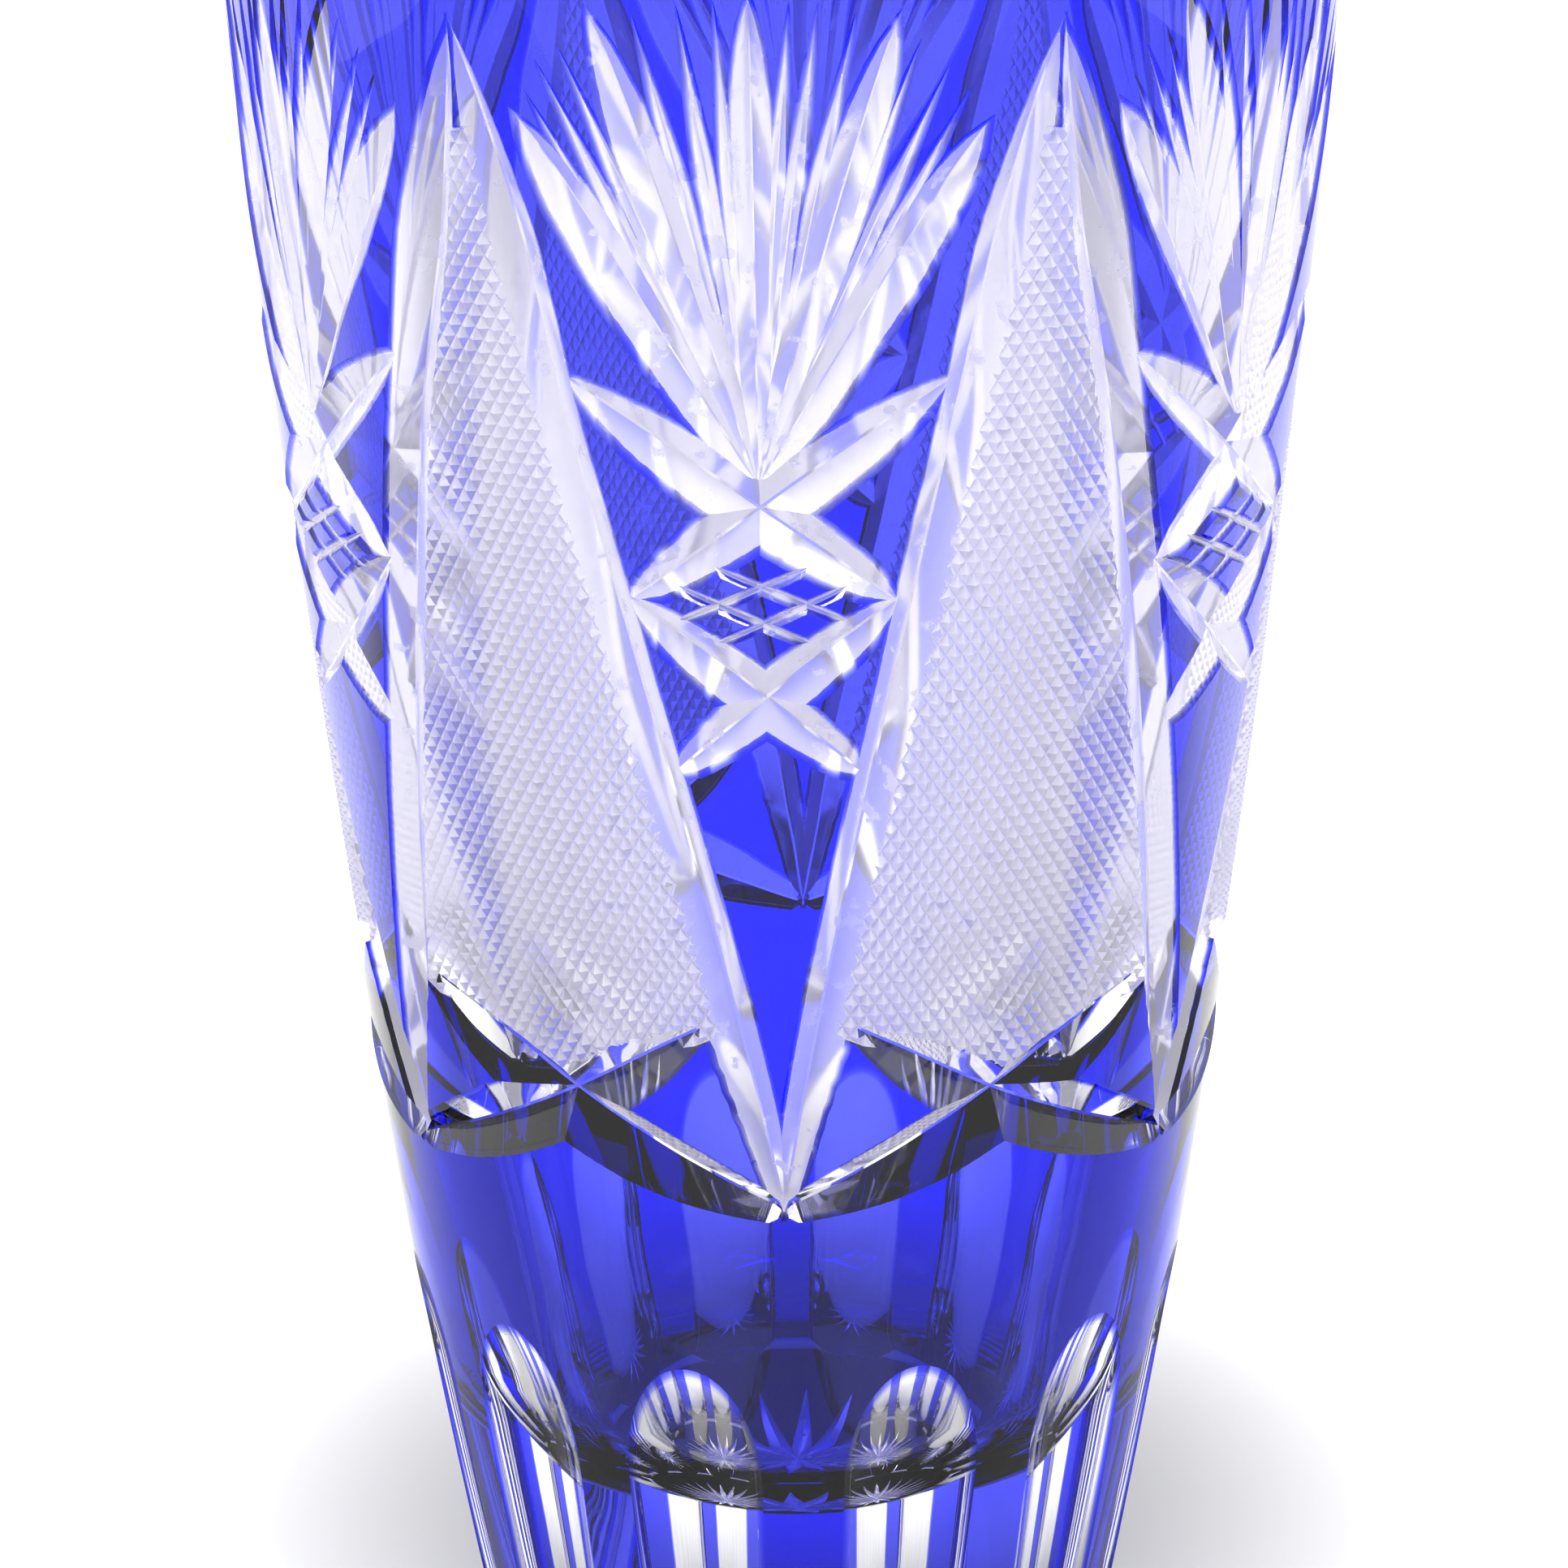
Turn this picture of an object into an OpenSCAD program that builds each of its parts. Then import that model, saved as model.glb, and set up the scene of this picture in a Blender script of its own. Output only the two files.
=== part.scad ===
// Tall vase of heavy clear crystal with a thin blue glass casing outside.
// The cutter's wheels went through the casing, so it stands on the clear body
// as a collar, a foot and rows of separate islands between the cuts.

/* [Body] */
// Height from the resting face to the rim
height = 300; // [260:1:340]
// Outside radius at the rim, over the casing
rim_r = 82.2; // [78:0.2:86]
// Outside radius at the base, over the casing
base_r = 49; // [47:0.2:52]
// How far the side swells out from a straight taper
swell = 5.3; // [3:0.1:7]
// Wall at the rim, casing included
rim_wall = 8.5; // [7:0.1:10]
// Wall just above the rounded floor, casing included
foot_wall = 17; // [14:0.5:20]
// Thickness of the solid glass under the inside
floor_t = 42; // [36:0.5:48]
// Radius where the inside wall turns into its floor
floor_round = 20; // [14:1:24]
// Ground bevel round the base edge
base_bevel = 2; // [1:0.5:3]

/* [Casing] */
// Thickness of the blue casing
casing_t = 0.7; // [0.6:0.05:1.2]

/* [Cuts] */
// Depth of a main mitre cut, from the casing's outside
mitre_d = 3.5; // [3:0.1:4]
// Half the width of a main mitre cut at the casing's outside
mitre_w = 4.75; // [4:0.05:5.5]
// Depth of the two crossed leaf cuts under each spire
leaf_d = 5; // [4:0.1:5.5]
// Depth of a fan blade
blade_d = 3.2; // [2.4:0.1:3.6]
// Half the width of a fan blade at its widest
blade_w = 4.6; // [3.5:0.1:5]
// Width of the fine cuts that cross the diamond
lattice_w = 1.7; // [1.2:0.1:2]

/* [Flutes] */
// Height of the top of each flute
flute_top = 74; // [68:1:78]
// Radius of the flute cutter
flute_r = 14; // [12:0.5:16]
// Depth of each flute
flute_d = 3.7; // [3:0.1:4]
// Height over which a flute fades out at its top
flute_fade = 22; // [16:1:26]

/* [Base star] */
// Reach of the star's rays under the base
star_r = 35; // [28:1:37]
// Depth of the rays
star_d = 2; // [1:0.1:2.5]

/* [Hand cutting] */
// How far the lower apexes have wandered round from the columns above, in degrees
apex_drift = 2; // [-3:0.5:3]
// How far the flutes have wandered round from the columns, in degrees
flute_drift = 4; // [-6:0.5:6]

/* [Hidden] */
columns = 6;
sector = 360 / columns;
half = sector / 2;
flutes = 2 * columns;
rays = 24;
bands = 10;
round_fn = 96;
clear = "#e6e4ee";
blue = "#2438c8";

// Heights of the main points of the pattern
spire_z = 270.5;
apex_z = 101.8;
// Where the wide mitres of a spire start to run out, and the pattern to wander
taper_z = 148;
drift_top = 180;
// The two crosses of each column, as [half angle, height] of their tips
cross_1 = [[18.6, 225.5], [0, 208.5], [14.1, 195.4]];
cross_2 = [[13.8, 195.0], [0, 181.5], [10.6, 170.0]];
// The leaf under each spire, from its upper tip to the lower apex
leaf = [[-19.5, 130.3], [0, 114.5], [15, 106.5], [30, 102.2]];
// Fan root height, and the blade tips as [across, height]
root_z = 213.4;
blade_tips = [[-31, 259.6], [-19.7, 274.3], [0, 277.5], [19.7, 274.3], [31, 259.6]];
// Three needles lie between two blades: where their tips and the valleys between
// them stand, as a share of the gap, and how far out, as a share of the blade
teeth_share = [0, 0.2, 0.31, 0.405, 0.5, 0.595, 0.69, 0.8];
teeth_run = [1, 0.7, 0.98, 0.64, 0.99, 0.64, 0.98, 0.7];
// The leaf shape of an outer blade, from its tip to its root
leaf_share = [0.75, 0.5, 0.25];
leaf_width = [0.6, 0.9, 0.75];

// Outlines as [angle from the column's middle, height]
shield_edge = [[0, 175.6], [-9.4, 170.2], [-4.7, 147], [0, 106], [4.7, 147], [9.4, 170.2]];
upper_wedge = [[17.0, 217.6], [6.3, 208.2], [13.9, 199.8]];
lower_wedge = [[12.3, 189.8], [5.5, 180.4], [10.2, 175.6]];
diamond = [[13.2, 195.2], [0, 202.4], [-13.2, 195.2], [0, 187.4]];
base_triangle = [[22.3, 126.8], [9.5, 119.3], [25.5, 108.2]];
foot_edge = [[0, 100.2], [9, 99.8], [19, 101.8], [33, 110]];
// Upper edge of the upper cross, as [across, height]
strip_edge = [[3.4, 216.2], [27.6, 229.4], [27.6, 208]];

// The outside as a straight taper plus a parabola, sampled at even heights
function taper(t) = base_r + (rim_r - base_r) * t + 4 * swell * t * (1 - t);
side_table = [for (k = [0:bands]) [k * height / bands, taper(k / bands)]];
function side(z) = lookup(z, side_table);
function levels(lo, hi) = concat([lo],
    [for (k = [1:bands - 1]) let (z = k * height / bands) if (z > lo && z < hi) z], [hi]);
function reversed(list) = [for (k = [len(list) - 1:-1:0]) list[k]];
function mirrored(list) = [for (p = reversed(list)) [-p[0], p[1]]];

// The inside wall, thicker towards the foot
function inside(z) = side(z) - rim_wall
    - (foot_wall - rim_wall) * pow((height - z) / (height - floor_t), 2);

// The hand-cut pattern wanders round a little towards the foot
function wander(z) = lookup(z, [[apex_z, apex_drift], [drift_top, 0]]);

// A point on the side at an angle and a height, moved out by a distance
function spot(angle, z, out = 0) =
    let (r = side(z) + out, a = angle + wander(z)) [r * sin(a), -r * cos(a), z];

// A thin skin of casing between two heights
module skin(lo, hi) {
    zs = levels(lo, hi);
    rotate_extrude($fn = round_fn)
        polygon(concat([for (z = zs) [side(z), z]],
                       [for (z = reversed(zs)) [side(z) - casing_t, z]]));
}

// An outline given as angles and heights, laid flat in the plane of the column
module flat(outline) {
    polygon([for (p = outline) [side(p[1]) * sin(p[0] + wander(p[1])), p[1]]]);
}

// Whatever flat shape is given, pushed out through the front wall
module through() {
    rotate([90, 0, 0]) linear_extrude(height = rim_r + 6) children();
}

// One straight V-shaped cut between two points of the side
module mitre(a, b, depth_a, depth_b, half_w = mitre_w, full = mitre_d) {
    reach = 5;
    overlap = 0.4;
    p = spot(a[0], a[1], full - depth_a);
    q = spot(b[0], b[1], full - depth_b);
    turn = (a[0] + wander(a[1]) + b[0] + wander(b[1])) / 2;
    d = q - p;
    dx = d[0] * cos(turn) + d[1] * sin(turn);
    dy = -d[0] * sin(turn) + d[1] * cos(turn);
    run = norm(d);
    open_w = half_w * (1 + reach / full);
    translate((p + q) / 2)
        rotate([-asin(dy / run), atan2(dx, d[2]), turn])
            linear_extrude(height = run + overlap, center = true)
                polygon([[-open_w, -reach], [open_w, -reach], [0, full]]);
}

// The two long mitres of one spire, narrowing to the lower apexes
module spire_legs() {
    zs = [spire_z, 228, 188, taper_z, apex_z];
    for (way = [-1, 1], k = [0:len(zs) - 2]) {
        a = way * half * (spire_z - zs[k]) / (spire_z - apex_z);
        b = way * half * (spire_z - zs[k + 1]) / (spire_z - apex_z);
        end_d = k == len(zs) - 2 ? 1 : mitre_d;
        mitre([b, zs[k + 1]], [a, zs[k]], end_d, mitre_d);
    }
}

// A cross of two straight mitres that fade towards their tips
module cross(points) {
    for (way = [-1, 1]) {
        mitre(points[1], [way * points[0][0], points[0][1]], mitre_d, 1.6);
        mitre([way * points[2][0], points[2][1]], points[1], 1.6, mitre_d);
    }
}

// The two crossed leaf cuts under a spire
module crossed_leaves() {
    depths = [1.6, leaf_d, leaf_d, 1.4];
    for (way = [-1, 1], k = [0:len(leaf) - 2])
        mitre([way * leaf[k + 1][0], leaf[k + 1][1]], [way * leaf[k][0], leaf[k][1]],
              depths[k + 1], depths[k], mitre_w, leaf_d);
}

// The five blades of a fan as shallow mitres
module fan_blades() {
    for (tip = blade_tips) {
        angle = asin(tip[0] / side(tip[1]));
        middle = [0.5 * angle, (root_z + tip[1]) / 2];
        mitre([0, root_z], middle, 1.6, blade_d, blade_w, blade_d);
        mitre(middle, [angle, tip[1]], blade_d, 0.9, blade_w, blade_d);
    }
}

// One flute: a round cutter sunk to full depth, tilted out at its top
module flute() {
    fade_z = flute_top - flute_fade;
    lean = atan2(side(fade_z) - side(0), fade_z);
    rise = atan2(flute_d, flute_fade);
    translate([0, -(side(0) - flute_d + flute_r), 0]) rotate([lean, 0, 0])
        translate([0, 0, -8]) cylinder(r = flute_r, h = fade_z / cos(lean) + 8, $fn = 48);
    translate([0, -(side(fade_z) - flute_d + flute_r), fade_z]) rotate([lean + rise, 0, 0])
        translate([0, 0, -3]) cylinder(r = flute_r, h = flute_fade + 12, $fn = 48);
}

module flute_ring() {
    for (k = [0:flutes - 1]) rotate([0, 0, (k + 0.5) * 360 / flutes + flute_drift]) flute();
}

// Star under the base: straight rays through the middle
module base_star() {
    for (k = [0:rays / 2 - 1]) rotate([0, 0, (k + 0.5) * 360 / rays])
        rotate([90, 0, 0]) linear_extrude(height = 2 * star_r, center = true)
            polygon([[-star_d, -0.01], [star_d, -0.01], [0, star_d]]);
}

// The blank of clear glass, with its inside
module clear_blank() {
    zs = levels(base_bevel, height);
    turn_z = floor_t + floor_round;
    turn_r = inside(turn_z) - floor_round;
    inner = concat([for (z = reversed(levels(turn_z, height))) [inside(z), z]],
        [for (a = [15:15:90]) [turn_r + floor_round * cos(a), turn_z - floor_round * sin(a)]]);
    rotate_extrude($fn = round_fn)
        polygon(concat([[0, 0], [side(0) - casing_t - base_bevel, 0]],
                       [for (z = zs) [side(z) - casing_t, z]], inner, [[0, floor_t]]));
}

// The clear body with every wheel cut that goes through the casing into it
module crystal_body() {
    color(clear, 0.5) difference() {
        clear_blank();
        flute_ring();
        base_star();
        for (k = [0:columns - 1]) rotate([0, 0, sector * k]) {
            fan_blades();
            cross(cross_1);
            cross(cross_2);
            rotate([0, 0, half]) {
                spire_legs();
                crossed_leaves();
            }
        }
    }
}

// A point of a fan: a direction from the root, a distance, and a step sideways
function fan_point(angle, run, aside = 0) =
    [run * sin(angle) + aside * cos(angle), root_z + run * cos(angle) - aside * sin(angle)];

// Flat shape cleared of casing by one fan and by the upper cross below it: the tips of
// blades and needles alternate with the valleys between them
module fan_outline() {
    angles = [for (tip = blade_tips) atan2(tip[0], tip[1] - root_z)];
    runs = [for (tip = blade_tips) norm([tip[0], tip[1] - root_z])];
    last = len(blade_tips) - 1;
    teeth = [for (k = [0:last - 1], n = [0:len(teeth_share) - 1]) if (k + n > 0)
        let (share = teeth_share[n], run = runs[k] * (1 - share) + runs[k + 1] * share)
        fan_point(angles[k] * (1 - share) + angles[k + 1] * share, run * teeth_run[n])];
    leaf_side = [for (n = [0:len(leaf_share) - 1])
        fan_point(angles[last], runs[last] * leaf_share[n], blade_w * leaf_width[n])];
    right = concat([blade_tips[last]], leaf_side, strip_edge);
    polygon(concat(teeth, right, mirrored(right)));
}

// Flat shape of one spire, over the full width of both its mitres
module spire_outline() {
    foot_z = 200;
    edge = half * (spire_z - foot_z) / (spire_z - apex_z) + 3.1;
    flat([[0, spire_z + 7], [-edge, foot_z], [edge, foot_z]]);
}

// The blue collar, from the rim down between the fans and the spires
module collar_casing() {
    color(blue, 0.7) difference() {
        skin(strip_edge[0][1] - 1, height);
        for (k = [0:columns - 1]) rotate([0, 0, sector * k]) {
            through() fan_outline();
            rotate([0, 0, half]) through() spire_outline();
        }
    }
}

// The blue foot, scalloped by the crossed leaves above and split into tongues by the flutes
module foot_casing() {
    top = 109;
    above = concat(foot_edge, [[33, top + 3], [-33, top + 3]], mirrored(foot_edge));
    color(blue, 0.7) difference() {
        skin(base_bevel, top);
        flute_ring();
        for (k = [0:columns - 1]) rotate([0, 0, sector * k]) through() flat(above);
    }
}

// Islands left between the cuts of one column
module island_pair(outline, turn) {
    zs = [for (p = outline) p[1]];
    color(blue, 0.7) rotate([0, 0, turn]) intersection() {
        skin(min(zs) - 1, max(zs) + 1);
        through() union() {
            flat(outline);
            flat(mirrored(outline));
        }
    }
}

// The long blue shield between two spires
module shield(k) {
    color(blue, 0.7) rotate([0, 0, sector * (k - 1)]) intersection() {
        skin(apex_z, 177);
        through() flat(shield_edge);
    }
}

// Nine lozenges: the diamond crossed by two pairs of fine cuts
module diamond_lattice(k) {
    tip = diamond[0];
    slope = atan2(diamond[1][1] - tip[1], side(tip[1]) * sin(tip[0]));
    shift = 0.33 * (diamond[1][1] - tip[1]);
    color(blue, 0.7) rotate([0, 0, sector * (k - 1)]) intersection() {
        skin(186, 204);
        through() difference() {
            flat(diamond);
            for (way = [-1, 1], off = [-shift, shift])
                translate([0, tip[1] + off]) rotate(way * slope)
                    square([3 * side(tip[1]) * sin(tip[0]), lattice_w], center = true);
        }
    }
}

crystal_body();
collar_casing();
foot_casing();
for (k = [1:columns]) {
    island_pair(upper_wedge, sector * (k - 1));
    diamond_lattice(k);
    island_pair(lower_wedge, sector * (k - 1));
    shield(k);
    island_pair(base_triangle, sector * (k - 1) + half);
}
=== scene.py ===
"""Looks of a tall vase of heavy clear crystal with a thin blue glass casing outside.

One blank of glass is turned, the cutter's wheels are taken out of it, and what is left is parted
into the clear body and the blue casing that stands on it as a collar, a foot and islands.
"""

from typing import NamedTuple

import bpy
import numpy as np
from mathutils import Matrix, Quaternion, Vector


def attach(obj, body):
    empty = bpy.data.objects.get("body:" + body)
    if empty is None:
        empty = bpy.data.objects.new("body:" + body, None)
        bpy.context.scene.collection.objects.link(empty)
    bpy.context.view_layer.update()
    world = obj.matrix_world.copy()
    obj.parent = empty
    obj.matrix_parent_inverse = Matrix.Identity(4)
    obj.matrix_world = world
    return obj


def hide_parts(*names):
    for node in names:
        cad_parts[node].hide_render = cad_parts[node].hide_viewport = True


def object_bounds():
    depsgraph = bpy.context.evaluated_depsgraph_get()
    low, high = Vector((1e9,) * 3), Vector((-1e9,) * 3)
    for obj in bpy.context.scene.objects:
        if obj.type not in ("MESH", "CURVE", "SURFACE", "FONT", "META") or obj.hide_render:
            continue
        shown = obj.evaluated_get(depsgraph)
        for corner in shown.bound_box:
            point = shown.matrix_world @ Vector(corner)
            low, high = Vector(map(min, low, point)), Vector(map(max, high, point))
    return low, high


bl_info = {
    "name": "Cut Crystal Vase",
    "version": (1, 0, 0),
    "blender": (4, 5, 0),
    "location": "View3D > Sidebar > Vase",
    "description": "Clear crystal body, cut blue casing and a pale studio round them",
    "category": "Add Mesh",
}

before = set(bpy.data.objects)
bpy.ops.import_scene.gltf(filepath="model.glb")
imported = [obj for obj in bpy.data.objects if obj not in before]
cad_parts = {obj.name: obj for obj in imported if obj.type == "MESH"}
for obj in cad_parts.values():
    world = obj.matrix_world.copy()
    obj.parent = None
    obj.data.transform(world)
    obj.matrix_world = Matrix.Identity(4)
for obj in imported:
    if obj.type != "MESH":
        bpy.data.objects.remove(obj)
CAD_BOX = [list(corner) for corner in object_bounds()]
MM = 0.001
HEIGHT = CAD_BOX[1][2] / MM
RIM_RADIUS = CAD_BOX[1][0] / MM

# What a face of the glass is: the outer skin, the inside, the rim and base, or a kind of cut
SKIN, INSIDE, EDGE, MITRE, HATCH, FLUTE, STAR, LEAF = range(8)
FLAT_KINDS = (HATCH, STAR)
# How silky each kind of face is, from polished skin to hatching
SILKINESS = np.array([0.0, 0.0, 0.0, 1.2, 4.0, 0.2, 2.0, 0.4])
# Which of the body's materials each kind of face wears: polished, wheel-cut or ground
MATERIAL_OF_KIND = np.array([0, 0, 0, 1, 2, 0, 1, 0])
COLUMNS = 6
STEPS_ROUND = 240
SECTOR = 360 / COLUMNS
# A cutter reaches this far out of the skin, and its lid lies this much farther out, in mm
REACH = 4.0
LID = 1.5
# How the glass bends light, and the strength and depth in metres of its faint ripple
IOR = 1.53
RIPPLE_STRENGTH, RIPPLE_DEPTH = 0.25, 0.0002
# The noise between which an unpolished streak starts and is at its full roughness
STREAK_FROM, STREAK_TO = 0.60, 0.68


# ---------------------------------------------------------------- sizes and colours


class VaseForm(bpy.types.PropertyGroup):
    """Sizes of the turned blank."""

    base_radius: bpy.props.FloatProperty(
        name="Base radius", description="Outside radius at the base", default=0.049, unit="LENGTH")
    swell: bpy.props.FloatProperty(
        name="Swell", description="How far the side swells out from a straight taper",
        default=0.0053, unit="LENGTH")
    rim_wall: bpy.props.FloatProperty(
        name="Rim wall", description="Wall at the rim", default=0.0085, unit="LENGTH")
    foot_wall: bpy.props.FloatProperty(
        name="Foot wall", description="Wall just above the floor", default=0.017, unit="LENGTH")
    floor: bpy.props.FloatProperty(
        name="Floor", description="Height of the floor inside", default=0.042, unit="LENGTH")
    floor_round: bpy.props.FloatProperty(
        name="Floor round", description="Radius between the inside wall and its floor",
        default=0.020, unit="LENGTH")
    bevel: bpy.props.FloatProperty(
        name="Base bevel", description="Ground bevel round the base", default=0.002, unit="LENGTH")
    casing: bpy.props.FloatProperty(
        name="Casing", description="Thickness of the blue casing", default=0.0007, unit="LENGTH")


class VaseCuts(bpy.types.PropertyGroup):
    """Sizes of the wheel cuts."""

    leaf_depth: bpy.props.FloatProperty(
        name="Leaf depth", description="Deepest point of the crossed leaves",
        default=0.0050, unit="LENGTH")
    cross_depth: bpy.props.FloatProperty(
        name="Cross depth", description="Deepest point of the small crosses",
        default=0.0031, unit="LENGTH")
    blade_depth: bpy.props.FloatProperty(
        name="Blade depth", description="Deepest point of a fan blade",
        default=0.0031, unit="LENGTH")
    needle_depth: bpy.props.FloatProperty(
        name="Needle depth", description="Deepest point of the needles between the blades",
        default=0.0015, unit="LENGTH")
    hatch_width: bpy.props.FloatProperty(
        name="Hatch width", description="Width of one point of the hatched fields",
        default=0.0024, unit="LENGTH")
    hatch_height: bpy.props.FloatProperty(
        name="Hatch height", description="Height of one point of the hatched fields",
        default=0.00335, unit="LENGTH")
    hatch_depth: bpy.props.FloatProperty(
        name="Hatch depth", description="Depth of the hatching below its points",
        default=0.0009, unit="LENGTH")
    flute_top: bpy.props.FloatProperty(
        name="Flute top", description="Height of the top of a flute", default=0.0745, unit="LENGTH")
    flute_depth: bpy.props.FloatProperty(
        name="Flute depth", description="Depth of a flute", default=0.0037, unit="LENGTH")
    flute_width: bpy.props.FloatProperty(
        name="Flute width", description="Width of a flute", default=0.0206, unit="LENGTH")
    star_radius: bpy.props.FloatProperty(
        name="Star radius", description="Reach of the rays under the base",
        default=0.035, unit="LENGTH")
    star_depth: bpy.props.FloatProperty(
        name="Star depth", description="Depth of the rays", default=0.002, unit="LENGTH")


class VaseGlass(bpy.types.PropertyGroup):
    """Colours and finish of the two glasses."""

    clear: bpy.props.FloatVectorProperty(
        name="Clear", description="Tint of the clear crystal", subtype="COLOR", size=3,
        min=0, max=1, default=(0.985, 0.982, 0.995))
    blue: bpy.props.FloatVectorProperty(
        name="Blue", description="Colour that the casing lets through", subtype="COLOR", size=3,
        min=0, max=1, default=(0.11, 0.16, 0.95))
    blue_strength: bpy.props.FloatProperty(
        name="Blue strength", description="Density of the blue glass, per metre", default=4200)
    cut_face: bpy.props.FloatVectorProperty(
        name="Cut face", description="Tint of the light scattered by a cut face", subtype="COLOR",
        size=3, min=0, max=1, default=(0.85, 0.83, 0.94))
    cut_clearness: bpy.props.FloatProperty(
        name="Cut clearness", description="Share of light that passes a mitre cut unscattered",
        default=0.62, min=0, max=1)
    ground_clearness: bpy.props.FloatProperty(
        name="Ground clearness", description="Share of light that passes the hatching unscattered",
        default=0.62, min=0, max=1)
    silk: bpy.props.FloatProperty(
        name="Silk", description="Roughness of a cut that was polished by acid", default=0.08,
        min=0, max=1)
    frost: bpy.props.FloatProperty(
        name="Frost", description="Roughness of the streaks that the polish missed", default=0.4,
        min=0, max=1)


class VaseStage(bpy.types.PropertyGroup):
    """Floor, light and camera."""

    floor_shade: bpy.props.FloatProperty(
        name="Floor", description="Lightness of the floor", default=0.93, min=0, max=1)
    # Painted shade: the glass sees the floor near the vase and in front darker than the camera does
    painted_shade_floor_in_glass: bpy.props.FloatProperty(
        name="Floor in glass", description="Lightness of the near floor as the glass shows it",
        default=0.3, min=0, max=1)
    # Painted shadow: the camera sees the floor round the vase painted this much darker
    painted_shadow_floor: bpy.props.FloatProperty(
        name="Floor by the vase", description="Lightness of the floor round the vase",
        default=0.31, min=0, max=1)
    sky: bpy.props.FloatProperty(
        name="Sky", description="Strength of the light from behind the vase", default=1.6)
    sky_front: bpy.props.FloatProperty(
        name="Sky in front", description="Strength of the light from the camera's side",
        default=0.9)
    lamp: bpy.props.FloatProperty(
        name="Lamp", description="Power of each soft lamp", default=15, subtype="POWER")
    look_height: bpy.props.FloatProperty(
        name="Look height", description="Height that the camera looks at",
        default=0.1451, unit="LENGTH")
    distance: bpy.props.FloatProperty(
        name="Distance", description="Camera to that point", default=0.6927, unit="LENGTH")
    elevation: bpy.props.FloatProperty(
        name="Elevation", description="Camera's height as an angle", subtype="ANGLE",
        default=np.radians(18.34))
    azimuth: bpy.props.FloatProperty(
        name="Azimuth", description="Camera's turn to the right of the front", subtype="ANGLE",
        default=np.radians(3))
    roll: bpy.props.FloatProperty(
        name="Roll", description="Camera's tilt", subtype="ANGLE", default=np.radians(-0.58))
    lens: bpy.props.FloatProperty(name="Lens", description="Focal length in mm", default=103.27)


def form():
    """The sizes of the blank."""
    return bpy.context.scene.vase_form


def cuts():
    """The sizes of the wheel cuts."""
    return bpy.context.scene.vase_cuts


# ---------------------------------------------------------------- solids as arrays


class Solid(NamedTuple):
    """A closed mesh in mm: points, corner numbers of each triangle, the kind of each triangle
    and the glass's normal at each of its corners."""

    points: np.ndarray
    corners: np.ndarray
    kinds: np.ndarray
    facing: np.ndarray


def unit(vectors):
    """Vectors divided by their own lengths."""
    return vectors / np.maximum(np.linalg.norm(vectors, axis=-1, keepdims=True), 1e-12)


def volume(points, corners):
    """Sum of the signed tetrahedra between each triangle and the origin."""
    a, b, c = points[corners[:, 0]], points[corners[:, 1]], points[corners[:, 2]]
    return np.einsum("ij,ij->i", a, np.cross(b, c)).sum() / 6


def joined(solids):
    """Several solids in one set of arrays."""
    starts = np.cumsum([0] + [len(s.points) for s in solids[:-1]])
    return Solid(
        np.concatenate([s.points for s in solids]),
        np.concatenate([s.corners + n for s, n in zip(solids, starts)]),
        np.concatenate([s.kinds for s in solids]),
        np.concatenate([s.facing for s in solids]),
    )


def mesh_of(solid, name, scale=1.0):
    """A Blender mesh of a solid, which keeps kinds and normals as attributes."""
    mesh = bpy.data.meshes.new(name)
    count = len(solid.corners)
    mesh.vertices.add(len(solid.points))
    mesh.vertices.foreach_set("co", (solid.points * scale).astype(np.float32).ravel())
    mesh.loops.add(3 * count)
    mesh.loops.foreach_set("vertex_index", solid.corners.astype(np.int32).ravel())
    mesh.polygons.add(count)
    mesh.polygons.foreach_set("loop_start", np.arange(0, 3 * count, 3, dtype=np.int32))
    mesh.attributes.new("kind", "INT", "FACE").data.foreach_set(
        "value", solid.kinds.astype(np.int32))
    mesh.attributes.new("facing", "FLOAT_VECTOR", "CORNER").data.foreach_set(
        "vector", solid.facing.astype(np.float32).ravel())
    mesh.update(calc_edges=True)
    return mesh


def solid_of(mesh):
    """The arrays of a Blender mesh made by mesh_of or left by a Boolean of such meshes."""
    mesh.calc_loop_triangles()
    count = len(mesh.loop_triangles)
    points = np.empty(3 * len(mesh.vertices), np.float32)
    mesh.vertices.foreach_get("co", points)
    loops = np.empty(3 * count, np.int32)
    mesh.loop_triangles.foreach_get("loops", loops)
    corners = np.empty(3 * count, np.int32)
    mesh.loop_triangles.foreach_get("vertices", corners)
    polygons = np.empty(count, np.int32)
    mesh.loop_triangles.foreach_get("polygon_index", polygons)
    kinds = np.empty(len(mesh.polygons), np.int32)
    mesh.attributes["kind"].data.foreach_get("value", kinds)
    facing = np.empty(3 * len(mesh.loops), np.float32)
    mesh.attributes["facing"].data.foreach_get("vector", facing)
    return Solid(points.reshape(-1, 3).astype(float), corners.reshape(-1, 3), kinds[polygons],
                 facing.reshape(-1, 3)[loops].reshape(-1, 3, 3))


def combined(solid, operation, others):
    """A solid after one Boolean with each of the others in turn."""
    scene = bpy.context.scene
    made = []
    for n, each in enumerate([solid, *others]):
        thing = bpy.data.objects.new(f"work_{n}", mesh_of(each, f"work_{n}"))
        scene.collection.objects.link(thing)
        made.append(thing)
    for other in made[1:]:
        step = made[0].modifiers.new(other.name, "BOOLEAN")
        step.operation = operation
        step.solver = "MANIFOLD"
        step.object = other
    graph = bpy.context.evaluated_depsgraph_get()
    mesh = bpy.data.meshes.new_from_object(made[0].evaluated_get(graph))
    result = solid_of(mesh)
    bpy.data.meshes.remove(mesh)
    for thing in made:
        data = thing.data
        bpy.data.objects.remove(thing)
        bpy.data.meshes.remove(data)
    return result


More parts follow.
